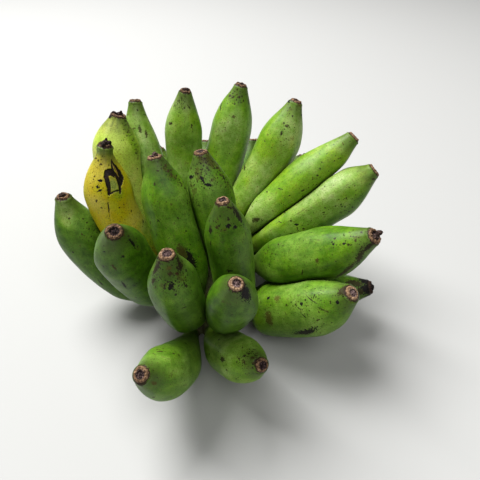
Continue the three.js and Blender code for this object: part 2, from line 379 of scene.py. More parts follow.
# Dried flower remnants that still stick to some scars: how far off the scar's middle as a share of
# its radius, towards which degree round it, and their height, width and thickness in mm.
REMNANTS = {
    "left_yellow": [
        (0.1, 0, 2.6, 8.6, 5.6), (0.75, -160, 2.2, 4, 3), (0.3, 40, 4, 4, 3), (0.6, -60, 3.2, 4, 3),
    ],
    "back_left_outer": [(0.35, -70, 3.6, 4.2, 2.6), (0.6, 170, 1.8, 4, 3), (0.1, 40, 1.8, 6, 3)],
    "back_middle": [(0.2, 30, 1.6, 5, 4)],
    "right_lower": [(0.78, 165, 3.2, 4.6, 4.2), (0.2, 0, 1.6, 5, 4)],
    "right_low_back": [(0.1, 0, 2, 6.5, 6)],
    "front_left_tall": [(0.15, 30, 2.6, 5, 4)],
    "left_low": [(0.1, 90, 1.6, 5, 4)],
    "back_low_left": [(0.2, -60, 2.2, 5, 4)],
    "right_low_rear": [(0.3, 100, 2.8, 4.6, 3.4)],
}

# A remnant's own rings: millimetres below its base or shares of its height, and share of its width.
# Its lowest point lies REMNANT_FOOT below its base, and its base REMNANT_SINK behind the tip, in mm.
REMNANT_PROFILE = [(-1.4, 0.7), (-0.2, 1.0), (0.35, 0.86), (0.7, 0.62), (0.93, 0.3)]
REMNANT_SIDES = 14
REMNANT_FOOT = 1.6
REMNANT_SINK = 0.6

# The ridges' height as a share of the radius, and how far their crests are rounded, in radians.
RIDGE_HEIGHT = 0.032
RIDGE_ROUNDING = 0.06

# The length and height of the skin's swells and ripples, and how far apart and how high the
# lengthways wrinkles at its ends are, in mm.
SWELL_LENGTH, SWELL_HEIGHT = 48, 0.35
RIPPLE_LENGTH, RIPPLE_HEIGHT = 15, 0.12
WRINKLE_APART, WRINKLE_HEIGHT = 4.5, 0.14

# The gap between pressed faces, how softly they begin, and how far the scar begins behind the tip, in mm.
CLEARANCE = 0.35
SOFT_EDGE = 1.4
SCAR_LENGTH = 3.8


def waves(chance, along, angle, wavelength, girth):
    """A smooth random swell over the skin, between about -1 and 1, with this wavelength in mm."""
    total = 0
    for _ in range(6):
        turns = chance.integers(0, max(2, round(girth * math.pi / wavelength)) + 1)
        rate = chance.uniform(0.2, 1.0) * 2 * math.pi / wavelength
        total = total + np.sin(along * rate + angle * turns + chance.uniform(0, 2 * math.pi))
    return total / 3.5


def pressed_reach(centre, outward, radius, neighbours):
    """How far the skin may reach before it meets the face that it shares with a neighbour."""
    reach = np.full(outward.shape[:2], 1e3)
    for other_centre, other_radius in neighbours:
        for point, other in zip(other_centre, other_radius):
            share = other / radius[:, None]
            gap = (share + 1) * CLEARANCE
            away = (centre - point)[:, None, :]
            b = share * gap - (away * outward).sum(-1)
            c = gap ** 2 - (away ** 2).sum(-1)
            inside = b * b - (share ** 2 - 1) * c
            slope = b + np.sqrt(np.maximum(inside, 0))
            meets = (inside >= 0) & (slope > 1e-6)
            reach = np.where(meets, np.minimum(reach, -c / np.where(meets, slope, 1)), reach)
    return np.maximum(reach, 0.3)


def lower_of(wanted, limit):
    """The smaller of two lengths, rounded over where they cross."""
    return (wanted + limit - np.sqrt((wanted - limit) ** 2 + SOFT_EDGE ** 2)) / 2


def crest(angle):
    """About 0.7 on each of the five ridges, falling to about -0.5 in the middle of the flats."""
    fifth = math.pi / 5
    off_ridge = np.hypot((angle + fifth) % (2 * fifth) - fifth, RIDGE_ROUNDING)
    return (math.cos(fifth) / np.cos(fifth - off_ridge) - 0.87) / 0.13


def remnant(middle, along, outward, other, height, wide, thick, chance):
    """A dried, ragged stub: a closed skin that starts below the scar and leans as it rises."""
    angle = np.linspace(0, 2 * np.pi, REMNANT_SIDES, endpoint=False)
    lean = outward * chance.uniform(-0.25, 0.25) + other * chance.uniform(-0.25, 0.25)
    points = [middle - along * REMNANT_FOOT]
    for rise, share in REMNANT_PROFILE:
        centre = middle + (along + lean) * rise * (height if rise > 0 else 1)
        for a in angle:
            ragged = share / 2 * chance.uniform(0.7, 1.25)
            edge = outward * math.cos(a) * wide + other * math.sin(a) * thick
            points.append(centre + edge * ragged + along * chance.uniform(-0.3, 0.3))
    points.append(middle + (along + lean) * height)
    return np.array(points), rings_to_faces(len(REMNANT_PROFILE), REMNANT_SIDES)


NEIGHBOUR_SHARES = np.linspace(0, 1, 61)
CENTRES = {name: frames_along(fruit, NEIGHBOUR_SHARES)[0] for name, fruit in FRUIT.items()}
RADII = {name: radius_at(fruit, NEIGHBOUR_SHARES) for name, fruit in FRUIT.items()}


def neighbours_of(name):
    """The centre lines and radii of the fruits near enough to press on this one."""
    near = []
    for other in FRUIT:
        apart = CENTRES[name][:, None, :] - CENTRES[other][None, :, :]
        gap = np.sqrt((apart ** 2).sum(-1)) - RADII[name][:, None] - RADII[other][None, :]
        if other != name and gap.min() < 4:
            near.append((CENTRES[other], RADII[other]))
    return near


def fruit_skin(name, sides=SIDES, shares=BODY_SHARES, dent=None):
    """The closed skin of one fruit, and for every point of it where it lies on the peel."""
    fruit = FRUIT[name]
    scar_share, _, turn = SCARS[name]
    chance = np.random.default_rng(sum(map(ord, name)))
    angle = np.linspace(0, 2 * np.pi, sides, endpoint=False)[None, :] + math.radians(turn)
    centre, along, across, other = frames_along(fruit, shares)
    length = np.concatenate([[0], np.cumsum(np.linalg.norm(np.diff(centre, axis=0), axis=1))])
    radius = radius_at(fruit, shares)
    outward = across[:, None] * np.cos(angle)[..., None] + other[:, None] * np.sin(angle)[..., None]
    body = smooth(2 * radius / fruit["girth"] / 0.4 - 1)[:, None]
    ridge = crest(angle - math.radians(turn))
    ridge_weight = 0.95 + 0.5 * np.sin(2 * angle + chance.uniform(0, 6))
    swell = waves(chance, length[:, None], angle, SWELL_LENGTH, fruit["girth"])
    ripple = waves(chance, length[:, None], angle, RIPPLE_LENGTH, fruit["girth"])
    wrinkle = waves(chance, length[:, None] * 0.1, angle, WRINKLE_APART, fruit["girth"] / 3)
    wanted = radius[:, None] * (1 + RIDGE_HEIGHT * (0.25 + 0.75 * body) * ridge_weight * ridge)
    wanted = wanted + SWELL_HEIGHT * body * swell + RIPPLE_HEIGHT * ripple
    wanted = wanted + WRINKLE_HEIGHT * (1 - body) * wrinkle
    limit = pressed_reach(centre, outward, radius, neighbours_of(name))
    reach = lower_of(wanted, limit)
    if dent:
        reach = reach - dent(length[:, None], angle, reach)
    rings = [centre[:, None] + outward * reach[..., None]]

    tip_point, tip_along, tip_across, tip_other = (part[0] for part in frames_along(fruit, [1.0]))
    tip_out = tip_across * np.cos(angle)[..., None] + tip_other * np.sin(angle)[..., None]
    rim = radius_at(fruit, [1.0])[0]
    ragged = 1 + 0.06 * waves(chance, 0, angle, 9, 14) + 0.03 * waves(chance, 0, angle, 3, 14)
    height = 0.4 * waves(chance, 0, angle, 9, 14) + 0.25 * waves(chance, 0, angle, 3, 14) - 0.4
    core_place = chance.uniform(0, 2 * np.pi)
    core_side = (tip_across * math.cos(core_place) + tip_other * math.sin(core_place)) * rim * 0.1
    scar_reach, scar_length = [], []
    for back, share, drawn_in, cork, core in SCAR:
        rough = 0.05 * core * waves(chance, 0, angle, 3, 14)
        drawn = 1 - (1 - scar_share) * drawn_in
        out = rim * drawn * share * (1 + (ragged - 1) * min(1, cork + core) + rough)
        lift = height * max(cork, 0.6 * core) - back
        middle = tip_point + core_side * smooth((0.75 - share) / 0.3)
        rings.append(middle + tip_out * out[..., None] + tip_along * lift[..., None])
        scar_reach.append(out)
        scar_length.append(length[-1] + SCAR_LENGTH + np.broadcast_to(lift, out.shape))
    points = np.concatenate([ring.reshape(-1, 3) for ring in rings])
    points = np.concatenate([[centre[0]], points, [tip_point + core_side - tip_along]])
    faces = rings_to_faces(len(shares) + len(SCAR), sides)

    def per_point(body_values, scar_values, last):
        on_scar = np.array([np.broadcast_to(value, angle.shape) for value in scar_values])
        values = np.concatenate([np.broadcast_to(body_values, reach.shape).ravel(), on_scar.ravel()])
        return np.concatenate([values[:1], values, [last]])

    where = {
        "share": per_point(shares[:, None], [1.0] * len(SCAR), 1),
        "angle": per_point(angle, [angle] * len(SCAR), 0),
        "length": per_point(length[:, None], scar_length, length[-1]),
        "reach": per_point(reach, scar_reach, 0),
        "cork": per_point(0, [row[3] for row in SCAR], 0),
        "core": per_point(0, [row[4] for row in SCAR], 1),
        "ridge": per_point(body * np.clip(ridge * ridge_weight, 0, 1), [0.0] * len(SCAR), 0),
    }
    for off, degrees, tall, wide, thick in REMNANTS.get(name, []):
        way = math.radians(degrees)
        side = tip_across * math.cos(way) + tip_other * math.sin(way)
        middle = tip_point - tip_along * REMNANT_SINK + side * rim * scar_share * off
        stub, stub_faces = remnant(middle, tip_along, tip_across, tip_other, tall, wide, thick, chance)
        faces += [tuple(corner + len(points) for corner in face) for face in stub_faces]
        points = np.concatenate([points, stub])
        on_stub = dict(share=1, angle=way, length=length[-1], reach=3, cork=1, core=0.7, ridge=0)
        for part, value in on_stub.items():
            where[part] = np.concatenate([where[part], np.full(len(stub), float(value))])
    return points, faces, where


# Marks on the peel: share of the length, angle round it in degrees, length and width in mm, how
# far it is turned from lengthways in degrees, and its ink, from 0 for a soft stain to 1 for black.
MARKS = {
    "left_low": [(0.79, -139, 1.8, 1.6, 0, 0.4), (0.45, 170, 9, 1.8, 13, 0.8)],
    "left_yellow": [
        (0.825, -160, 4, 1.7, 66, 1), (0.79, -169, 2.8, 2.4, 64, 1), (0.775, -162, 3.6, 1.7, 62, 0.95),
        (0.92, 149, 2.6, 1.5, 80, 0.6), (0.785, 176, 1.5, 1.1, 69, 0.6), (0.72, -174, 2.4, 1.8, 55, 0.55),
        (0.47, -79, 3.8, 2.4, 39, 0.9),
    ],
    "back_left_outer": [
        (0.985, -49, 2.6, 1.6, -85, 0.7), (0.975, -60, 1.6, 1.2, 84, 0.6), (0.955, -67, 1.8, 1.2, 80, 0.7),
        (0.9, -80, 1.4, 1, 64, 0.6), (0.965, -84, 1.3, 1, 70, 0.6), (0.98, 178, 5, 2.4, -87, 1),
    ],
    "back_left_inner": [
        (0.935, -95, 1.8, 1.7, 51, 0.7), (0.815, -96, 6.5, 2.6, 3, 0.52), (0.78, -77, 7, 2.6, 9, 0.52),
        (0.98, -135, 1.4, 1.1, 0, 0.5),
    ],
    "back_middle": [
        (0.795, -139, 3.8, 3, 75, 0.6), (0.91, -65, 4.4, 1.1, -29, 0.7), (0.8, -64, 4.2, 1.5, 12, 0.6),
        (0.9, -150, 3, 1.4, 0, 0.6),
    ],
    "back_right_inner": [
        (0.92, -115, 3.6, 2, 83, 0.55), (0.915, -96, 2.4, 1.8, -81, 0.55), (0.93, -61, 2.4, 2, 81, 0.55),
        (0.94, -78, 1.8, 1.5, 0, 0.4), (0.84, -129, 8.5, 2, -40, 0.8), (0.81, -65, 4.3, 2.6, 76, 0.4),
        (0.905, 3, 5, 1.6, 5, 0.5),
    ],
    "back_right_outer": [
        (0.975, -113, 4.5, 2, 89, 1), (0.85, -42, 3.3, 2.4, 69, 0.5), (0.8, -50, 4.2, 1.8, 0, 0.65),
        (0.49, -113, 7, 3, -61, 0.7), (0.93, 30, 4, 1.5, -89, 0.9), (0.71, -81, 1.5, 1.1, 74, 0.4),
        (0.985, -12, 5, 3.8, -75, 0.2),
    ],
    "right_upper": [
        (0.48, -64, 5, 1.1, 57, 0.5), (0.24, -43, 7.5, 4.5, 33, 0.6), (0.4, -84, 2.2, 1.3, 75, 0.5),
    ],
    "right_middle": [
        (0.45, -27, 3.4, 2.2, 29, 1), (0.47, -10, 2.5, 1.9, 30, 0.5), (0.78, -18, 1.3, 1.2, 0, 0.6),
        (0.855, -30, 1.3, 1.1, 0, 0.6), (0.65, -26, 1.3, 1.1, -59, 0.6), (0.835, 33, 3, 1.2, -90, 0.6),
        (0.37, -52, 4, 0.9, 50, 0.5), (0.96, 9, 4.6, 2, 67, 0.5),
    ],
    # The long soft marks on this fruit's right side, at shares 0.77 to 0.95, are partly rubbing and partly
    # painted shade of its shadow side.
    "right_lower": [
        (0.8, -43, 1.9, 1.7, 53, 1), (0.855, -37, 2, 1.9, 75, 1), (0.86, -65, 1.3, 1.1, 71, 0.8),
        (0.915, -36, 2.3, 2, 86, 0.5), (0.68, -17, 4, 3.3, -59, 0.4), (0.555, -2, 6, 1.1, -54, 0.6),
        (0.88, 33, 16, 5, -34, 0.6), (0.95, 19, 12, 4, -6, 0.7), (0.4, -71, 2, 1.3, 37, 0.5),
        (0.77, 44, 24, 5, -10, 0.5),
    ],
    "right_low_front": [
        (0.705, -42, 2.8, 2.3, 12, 1), (0.925, -16, 2.8, 2.3, -64, 1), (0.62, -49, 1.7, 1.2, 11, 0.7),
        (0.785, -45, 9.5, 0.8, 46, 0.7), (0.805, -54, 4, 0.8, -55, 0.7), (0.83, -15, 8, 0.8, 51, 0.6),
        (0.68, -35, 5.2, 0.8, 42, 0.7), (0.7, -18, 5.3, 0.8, 61, 0.7), (0.8, -74, 1.6, 1.1, 50, 0.7),
        (0.63, 18, 22, 6.5, -2, 0.9), (0.385, -21, 13, 8, 87, 0.35), (0.98, -62, 11, 6, -46, 0.6),
        (0.475, -60, 7.5, 6, 23, 0.25), (0.38, -62, 3, 2.3, 0, 1),
    ],
    "right_low_back": [
        (0.97, -37, 15, 12, 0, 1), (0.97, -110, 16, 12, 0, 1), (0.98, 60, 14, 13, 0, 1),
        (0.88, -75, 14, 7, 0, 0.6), (0.9, -30, 12, 6, 0, 0.6),
    ],
    "front_left_tall": [
        (0.98, -76, 1.5, 1.1, 79, 0.5), (0.935, -70, 2.6, 1.6, 40, 0.5), (0.905, -76, 2.8, 1.6, 50, 0.5),
        (0.885, -70, 2.4, 1.4, 30, 0.5), (0.86, -68, 2.2, 1.2, 20, 0.5), (0.925, -113, 2.4, 1, -76, 0.6),
        (0.645, -99, 1.7, 1.5, 0, 0.6), (0.43, -112, 17, 8, -11, 0.4), (0.38, -101, 20, 7, -8, 0.95),
    ],
    "front_middle_tall": [
        (0.86, -131, 6.8, 2.1, -24, 1), (0.825, -116, 7.4, 2.1, -71, 1), (0.87, -176, 5, 2.2, 78, 1),
        (0.89, -60, 5, 1.6, -73, 0.6), (0.83, -62, 4, 2, 0, 0.9),
    ],
    "front_right_tall": [
        (0.875, 53, 4.8, 3, -9, 0.75), (0.9, 79, 2.6, 2.2, 0, 0.5), (0.905, 119, 2.9, 2.2, -79, 1),
        (0.89, 141, 2.8, 2.1, -71, 0.95), (0.925, 176, 12, 4.5, 10, 0.8), (0.81, 60, 3.2, 1.2, 0, 0.7),
        (0.655, 102, 3.8, 2.6, -84, 0.8), (0.765, 175, 3, 1, -43, 0.7),
    ],
    "front_left_outer": [
        (0.905, -171, 8, 2.2, 9, 1), (0.885, 139, 2.3, 2, 0, 0.9), (0.825, 109, 6, 2, -30, 0.45),
        (0.655, 115, 12, 2.1, 3, 0.9), (0.98, -169, 3.8, 0.9, 36, 0.3), (0.925, 68, 1.3, 0.9, 40, 0.6),
    ],
    "front_left_inner": [
        (0.93, 39, 12, 3.6, 13, 0.7), (0.86, 41, 4.4, 3.2, 26, 0.6), (0.94, 165, 10, 3, 35, 0.7),
        (0.925, 111, 4, 2.3, -76, 0.5), (0.865, 104, 5.2, 3, 10, 0.95), (0.885, 120, 1.2, 1, 0, 0.7),
        (0.835, 144, 2.4, 1.9, -34, 0.7), (0.95, 108, 4, 2.8, -80, 0.2),
    ],
    "front_right": [(0.945, 138, 13, 7, 0, 1), (0.99, -144, 2.6, 1.5, 89, 0.7)],
    "front_low_left": [
        (0.81, -89, 4, 2.2, 54, 0.6), (0.98, 100, 7, 3, 86, 0.6), (0.94, 149, 4.4, 2.5, 3, 0.25),
    ],
    "front_low_right": [
        (0.95, -64, 3.3, 2.1, -27, 0.5), (0.975, -36, 3.6, 1.9, -9, 0.5), (0.91, -29, 2.5, 1.4, 79, 0.5),
        (0.935, -106, 1.6, 1, 38, 0.4), (0.735, -25, 5.3, 4.4, 10, 0.7), (0.575, -63, 2.8, 1.1, 4, 0.5),
    ],
}

# How many small random knocks every peel has besides.
KNOCKS = 15

# Patches of fine freckles: share, angle in degrees, half length and half width in mm, density.
FRECKLES = {
    "left_low": [(0.7, -120, 20, 10, 0.2)],
    "left_yellow": [(0.88, 170, 8, 6, 0.25), (0.7, -140, 30, 14, 0.05)],
    "back_left_outer": [(0.85, -62, 25, 5, 0.5)],
    "back_middle": [(0.92, -120, 7, 5, 0.5)],
    "back_right_inner": [(0.93, -90, 8, 10, 0.5)],
    "back_right_outer": [(0.85, -40, 20, 8, 0.15)],
    "right_upper": [(0.5, -20, 50, 8, 0.2), (0.85, -50, 15, 12, 0.12)],
    "right_middle": [(0.6, 0, 45, 9, 0.25)],
    "right_lower": [(0.87, -45, 14, 10, 0.3), (0.3, -50, 12, 12, 0.2)],
    "right_low_front": [(0.75, -40, 22, 12, 0.2)],
    "front_left_tall": [(0.91, -72, 12, 5, 0.9), (0.75, -50, 22, 6, 0.45)],
    "front_middle_tall": [(0.92, -110, 14, 16, 1.3), (0.8, -165, 18, 6, 1), (0.84, -60, 16, 5, 1)],
    "front_right_tall": [(0.93, 100, 8, 12, 0.45)],
    "front_left_outer": [(0.93, -160, 10, 8, 0.3)],
    "front_left_inner": [(0.93, 45, 12, 5, 0.9), (0.92, 150, 12, 6, 0.9), (0.88, 110, 9, 8, 0.6)],
    "front_right": [(0.95, 160, 8, 8, 0.5)],
    "front_low_left": [(0.8, -60, 20, 10, 0.3)],
    "front_low_right": [(0.93, -50, 10, 9, 0.5)],
    "back_low_left": [(0.9, -60, 12, 8, 0.4)],
    "back_low_right": [(0.7, -100, 20, 9, 0.35)],
    "right_low_rear": [(0.93, -120, 9, 9, 0.6)],
}

# Patches of another tone, most of another ripeness and some of painted light, as noted: share, angle in
# degrees, half length and half width in mm, and how much riper they are.
PATCHES = {
    # Painted highlight: a lighter spot near the neck that stands in for the soft sheen on this fruit's top.
    "left_low": [(0.92, -168, 11, 9, 0.4)],
    "left_yellow": [
        (1.01, -125, 9, 60, -0.6), (0.735, -117, 5, 5, -0.4), (0.45, -85, 30, 9, 0.1),
        # The next patch, greener and darker at the lower right, is partly a darker band of the peel and
        # partly painted shadow from the fruit in front.
        (0.36, -72, 18, 18, -0.6),
    ],
    "back_left_outer": [(0.75, -130, 40, 12, 0.15), (0.9, -62, 22, 6, -0.25)],
    "right_lower": [(0.9, -45, 14, 9, 0.1)],
    "front_left_tall": [(0.97, -100, 22, 22, -0.2)],
    "right_middle": [(0.6, 20, 60, 7, -0.3)],
}


def store_marks(piece, name, where):
    """For every corner of every face, where it lies on the mark nearest to that face."""
    mesh = piece.data
    chance = np.random.default_rng(len(name) * 31 + sum(map(ord, name)))
    marks = list(MARKS.get(name, []))
    for _ in range(KNOCKS):
        ink = chance.uniform(0.25, 1)
        long = 0.8 + 3.2 * chance.random() ** 3
        wide = min(long, chance.uniform(0.7, 1.8))
        place = chance.uniform(0.15, 0.97), chance.uniform(-180, 180)
        marks.append((*place, long, wide, chance.uniform(-90, 90), ink))
    marks = np.array(marks, float)
    full = where["length"].max()
    corners = np.empty(len(mesh.loops), np.int32)
    mesh.loops.foreach_get("vertex_index", corners)
    starts = np.empty(len(mesh.polygons), np.int32)
    totals = np.empty(len(mesh.polygons), np.int32)
    mesh.polygons.foreach_get("loop_start", starts)
    mesh.polygons.foreach_get("loop_total", totals)
    face_of = np.repeat(np.arange(len(starts)), totals)

    def offsets(points, mark):
        ahead = where["length"][points] - marks[mark, 0] * full
        turn = where["angle"][points] - np.radians(marks[mark, 1])
        aside = np.arctan2(np.sin(turn), np.cos(turn)) * np.maximum(where["reach"][points], 2)
        tilt = np.radians(marks[mark, 4])
        u = (ahead * np.cos(tilt) + aside * np.sin(tilt)) / (marks[mark, 2] / 2)
        v = (aside * np.cos(tilt) - ahead * np.sin(tilt)) / (marks[mark, 3] / 2)
        return u, v

    middle = corners[starts]
    apart = []
    for number in range(len(marks)):
        u, v = offsets(middle, np.full(len(middle), number))
        spread = math.sqrt(marks[number, 2] * marks[number, 3])
        apart.append((np.hypot(u, v) - 1) * spread)
    nearest = np.argmin(apart, axis=0)[face_of]
    u, v = offsets(corners, nearest)
    ink = marks[nearest, 5]
    place = mesh.attributes.new("mark", "FLOAT_VECTOR", "CORNER")
    place.data.foreach_set("vector", np.stack([u, v, ink], 1).astype(np.float32).ravel())


def store_where(piece, name, where):
    """Keeps, for every point of the peel, what its material needs to know about its place."""
    shift = (sum(map(ord, name)) % 97) * 13
    turned = where["angle"]
    laid = [where["reach"] * np.cos(turned), where["reach"] * np.sin(turned), where["length"] + shift]
    store(piece, "peel", np.stack(laid, 1))
    full = where["length"].max()

    def nearness(share, degrees, long, wide):
        """1 on the patch of this size, fading to 0 round it."""
        ahead = (where["length"] - share * full) / long
        turn = turned - math.radians(degrees)
        aside = np.arctan2(np.sin(turn), np.cos(turn)) * where["reach"] / wide
        return smooth(1.4 - np.hypot(ahead, aside))

    # The ripeness patches also carry painted light: a painted highlight on left_low and partly painted shadow
    # on left_yellow.
    ripeness = np.full(len(turned), FRUIT[name]["ripeness"])
    for *patch, riper in PATCHES.get(name, []):
        ripeness += riper * nearness(*patch)
    store(piece, "ripeness", ripeness)
    for part in ("cork", "core", "ridge"):
        store(piece, part, where[part])
    store(piece, "scar_tone", np.full(len(turned), SCARS[name][1]))
    store(piece, "neck", smooth((where["share"] - 0.86) / 0.1))
    # Painted shade: a mask that darkens each fruit's stem end towards the crown, where the fruits crowd
    # together.
    store(piece, "stem", 1 - smooth((where["share"] - 0.1) / 0.14))
    freckle = np.zeros(len(turned))
    for *patch, density in FRECKLES.get(name, []):
        freckle = np.maximum(freckle, density * nearness(*patch))
    store(piece, "freckle", freckle)
    store_marks(piece, name, where)


def peel_material(name, bands):
    """Banana peel: a waxy skin with a broad soft shine, cloudy in tone, with fine pores, rubbed
    ridges, brown and black marks, and dry cork round the flower's scar."""
    material = bpy.data.materials.new(name)
    material.use_nodes = True
    tree = material.node_tree
    shader = tree.nodes["Principled BSDF"]

    # What the mesh says about each place. The peel's own coordinates, and so the sizes, are in mm.
    parts = ("ripeness", "neck", "stem", "ridge", "freckle", "cork", "core", "scar_tone")
    at = {part: add(tree, "Attribute", out="Fac", attribute_name=part) for part in parts}
    place = add(tree, "Attribute", out="Vector", attribute_name="peel")
    lengthways = add(tree, "Mapping", {"Vector": place, "Scale": (1.0, 1.0, 0.12)})
    cloud = add(tree, "TexNoise", {"Vector": place, "Scale": 1 / 20, "Detail": 3})
    streak = add(tree, "TexNoise", {"Vector": lengthways, "Scale": 1 / 3.2, "Detail": 3})
    pores = add(tree, "TexNoise", {"Vector": place, "Scale": 1 / 1.1, "Detail": 3})
    specks = add(tree, "TexNoise", {"Vector": place, "Scale": 1 / 0.6, "Detail": 1})
    wax = add(tree, "TexNoise", {"Vector": place, "Scale": 1 / 34, "Detail": 2})
    mottle = add(tree, "TexNoise", {"Vector": place, "Scale": 1 / 5, "Detail": 4})
    patchy = add(tree, "TexNoise", {"Vector": lengthways, "Scale": 1 / 1.7, "Detail": 4})

    # The peel's tone, from deep green to yellow, in clouds, streaks and a fine mottle.
    tone = at["ripeness"]
    for pattern, strength in ((cloud, 0.5), (streak, 0.25), (mottle, 0.35)):
        tone = add(tree, "MULTIPLY_ADD", [pattern, strength, tone])
    tone = add(tree, "SUBTRACT", [tone, 0.55])
    colour = add(tree, "ValToRGB", [tone], stops=bands)

    # The coats over it, each with how far it shows. First a pale coat in random patches, more on riper
    # fruits: partly the real waxy bloom, partly a painted sheen that stands in for the broad highlight.
    waxy = add(tree, "ValToRGB", [tone], stops=[(0.3, "#8cac58"), (0.55, "#a8bc7c"), (1, "#d6cc62")])
    bloom_and_painted_sheen = add(tree, "SUBTRACT", [wax, 0.42], use_clamp=True)
    broken = add(tree, "MULTIPLY_ADD", [mottle, 4.0, 0.2])
    bloom_and_painted_sheen = add(tree, "MULTIPLY", [bloom_and_painted_sheen, broken], use_clamp=True)
    riper = add(tree, "MULTIPLY", [at["ripeness"], 2.2], use_clamp=True)
    coats = [(add(tree, "MULTIPLY", [bloom_and_painted_sheen, riper]), waxy)]

    # Pores: darker than the peel in their middles, paler between them.
    deep = add(tree, "ValToRGB", [tone], stops=[(0, "#1c340a"), (1, "#7a6c14")])
    pale = add(tree, "ValToRGB", [tone], stops=[(0, "#5c7c1c"), (0.5, "#a2b04c"), (1, "#ccc04a")])
    coats.append((add(tree, "MapRange", [pores, 0.5, 0.206]), deep))
    coats.append((add(tree, "MapRange", [pores, 0.53, 0.915]), pale))

    # The dull neck, and painted shade on the stem end: each fruit is darkened towards the crown, where the
    # fruits crowd together.
    neck = add(tree, "MULTIPLY_ADD", [streak, 1.1, 0.05])
    stem = add(tree, "MULTIPLY_ADD", [mottle, 1.1, -0.05])
    coats.append((add(tree, "MULTIPLY", [at["neck"], neck]), linear("#445424")))
    coats.append((add(tree, "MULTIPLY", [at["stem"], stem]), linear("#24300f")))

    # Brown rubs along the ridges, broken up lengthways and by the mottle.
    rub = 0.8
    for pattern, none, full in ((at["ridge"], 0.62, 1.005), (patchy, 0.54, 0.623), (mottle, 0.46, 0.56)):
        rub = add(tree, "MULTIPLY", [rub, add(tree, "MapRange", [pattern, none, full])])
    coats.append((rub, linear("#3a2c16")))

    # Brown stains where freckles are dense, then the freckles: the middles of some of the cells of
    # this size, drawn coarser than most real freckles are, so that they show in the render.
    stain = add(tree, "MULTIPLY_ADD", [at["freckle"], 0.16, mottle])
    speckled = add(tree, "ADD", [specks, 0.1])
    stain = add(tree, "MULTIPLY", [add(tree, "MapRange", [stain, 0.65, 0.761]), speckled])
    coats.append((stain, linear("#3a2a10")))
    clusters = add(tree, "ADD", [add(tree, "MapRange", [mottle, 0.35, 0.6]), 0.3])
    density = add(tree, "MULTIPLY", [at["freckle"], clusters])
    edge = add(tree, "MULTIPLY_ADD", [specks, 0.65, 0.04])
    for cell, rare in ((1.5, 0.02), (2.7, 0.008)):
        distance = add(tree, "TexVoronoi", {"Vector": place, "Scale": 1 / cell}, out="Distance")
        luck = add(tree, "SeparateColor", [distance.node.outputs["Color"]], out="Red")
        chance = add(tree, "ADD", [density, rare])
        chosen = add(tree, "LESS_THAN", [luck, chance])
        dot = add(tree, "SUBTRACT", [edge, distance])
        dot = add(tree, "MULTIPLY", [dot, 9], use_clamp=True)
        dot = add(tree, "MULTIPLY", [dot, chosen])
        coats.append((add(tree, "MULTIPLY", [dot, 0.92]), linear("#22160b")))

    # Marks with a ragged edge, sharper and darker the more ink they have.
    mark = add(tree, "Attribute", out="Vector", attribute_name="mark")
    across, along, ink = add(tree, "SeparateXYZ", [mark]).node.outputs
    spread = add(tree, "MULTIPLY", [across, across])
    spread = add(tree, "MULTIPLY_ADD", [along, along, spread])
    spread = add(tree, "SQRT", [spread])
    ragged = add(tree, "MULTIPLY_ADD", [pores, 3.0, spread])
    inside = add(tree, "SUBTRACT", [2.6, ragged])
    sharp = add(tree, "MULTIPLY_ADD", [ink, 4.0, 1.2])
    marked = add(tree, "MULTIPLY", [inside, sharp], use_clamp=True)
    opaque = add(tree, "MULTIPLY_ADD", [ink, 0.3, 0.7])
    marked = add(tree, "MULTIPLY", [marked, opaque])
    ink_stops = [(0.0, "#565420"), (0.3, "#4a3a10"), (0.5, "#301d0b"), (0.75, "#1c120a"), (1.0, "#0c0908")]
    coats.append((marked, add(tree, "ValToRGB", [ink], stops=ink_stops)))

    # The scar: a dark ragged edge, then cork in its own tone, then the dried core.
    solid_place = add(tree, "TexCoord", out="Object")
    grain = add(tree, "TexNoise", {"Vector": solid_place, "Scale": 1 / (1.1 * MM), "Detail": 4})
    grain = add(tree, "MULTIPLY_ADD", [at["scar_tone"], 0.24, grain])
    grain = add(tree, "SUBTRACT", [grain, 0.12])
    cork_stops = [
        (0.3, "#2a1c16"), (0.42, "#54402f"), (0.52, "#75593f"), (0.62, "#8c7056"), (0.76, "#ab8e70"),
    ]
    core_stops = [(0.35, "#0f0b0a"), (0.5, "#2a1e1c"), (0.62, "#5e4a48"), (0.75, "#8d7874")]
    rim = add(tree, "MULTIPLY_ADD", [pores, 1.4, at["cork"]])
    corky = add(tree, "MapRange", [rim, 1.32, 1.57])
    core = add(tree, "MapRange", [at["core"], 0, 0.769])
    coats.append((add(tree, "MapRange", [rim, 0.8, 1.05]), linear("#2e2016")))
    coats.append((corky, add(tree, "ValToRGB", [grain], stops=cork_stops)))
    coats.append((core, add(tree, "ValToRGB", [grain], stops=core_stops)))
    for shown, coat in coats:
        colour = add(tree, "Mix", {0: shown, 6: colour, 7: coat}, out=2, data_type="RGBA")
    tree.links.new(colour, shader.inputs["Base Color"])

    # A waxy shine, dull on cork and marks, and the low relief of pores, specks and marks.
    dry = add(tree, "MULTIPLY", [marked, 0.5])
    for part in (corky, core):
        dry = add(tree, "MAXIMUM", [dry, part])
    rough = add(tree, "MULTIPLY_ADD", [pores, 0.14, 0.36])
    rough = add(tree, "MULTIPLY_ADD", [dry, 0.4, rough])
    tree.links.new(rough, shader.inputs["Roughness"])
    shader.inputs["IOR"].default_value = 1.45
    shader.inputs["Specular IOR Level"].default_value = 0.2
    height = add(tree, "MULTIPLY_ADD", [specks, 0.4, pores])
    height = add(tree, "MULTIPLY_ADD", [marked, 1.2, height])
    crumbly = add(tree, "MULTIPLY", [dry, specks])
    height = add(tree, "MULTIPLY_ADD", [crumbly, 3.0, height])
    bump = add(tree, "Bump", {"Strength": 0.35, "Distance": 0.25 * MM, "Height": height})
    tree.links.new(bump, shader.inputs["Normal"])
    return material


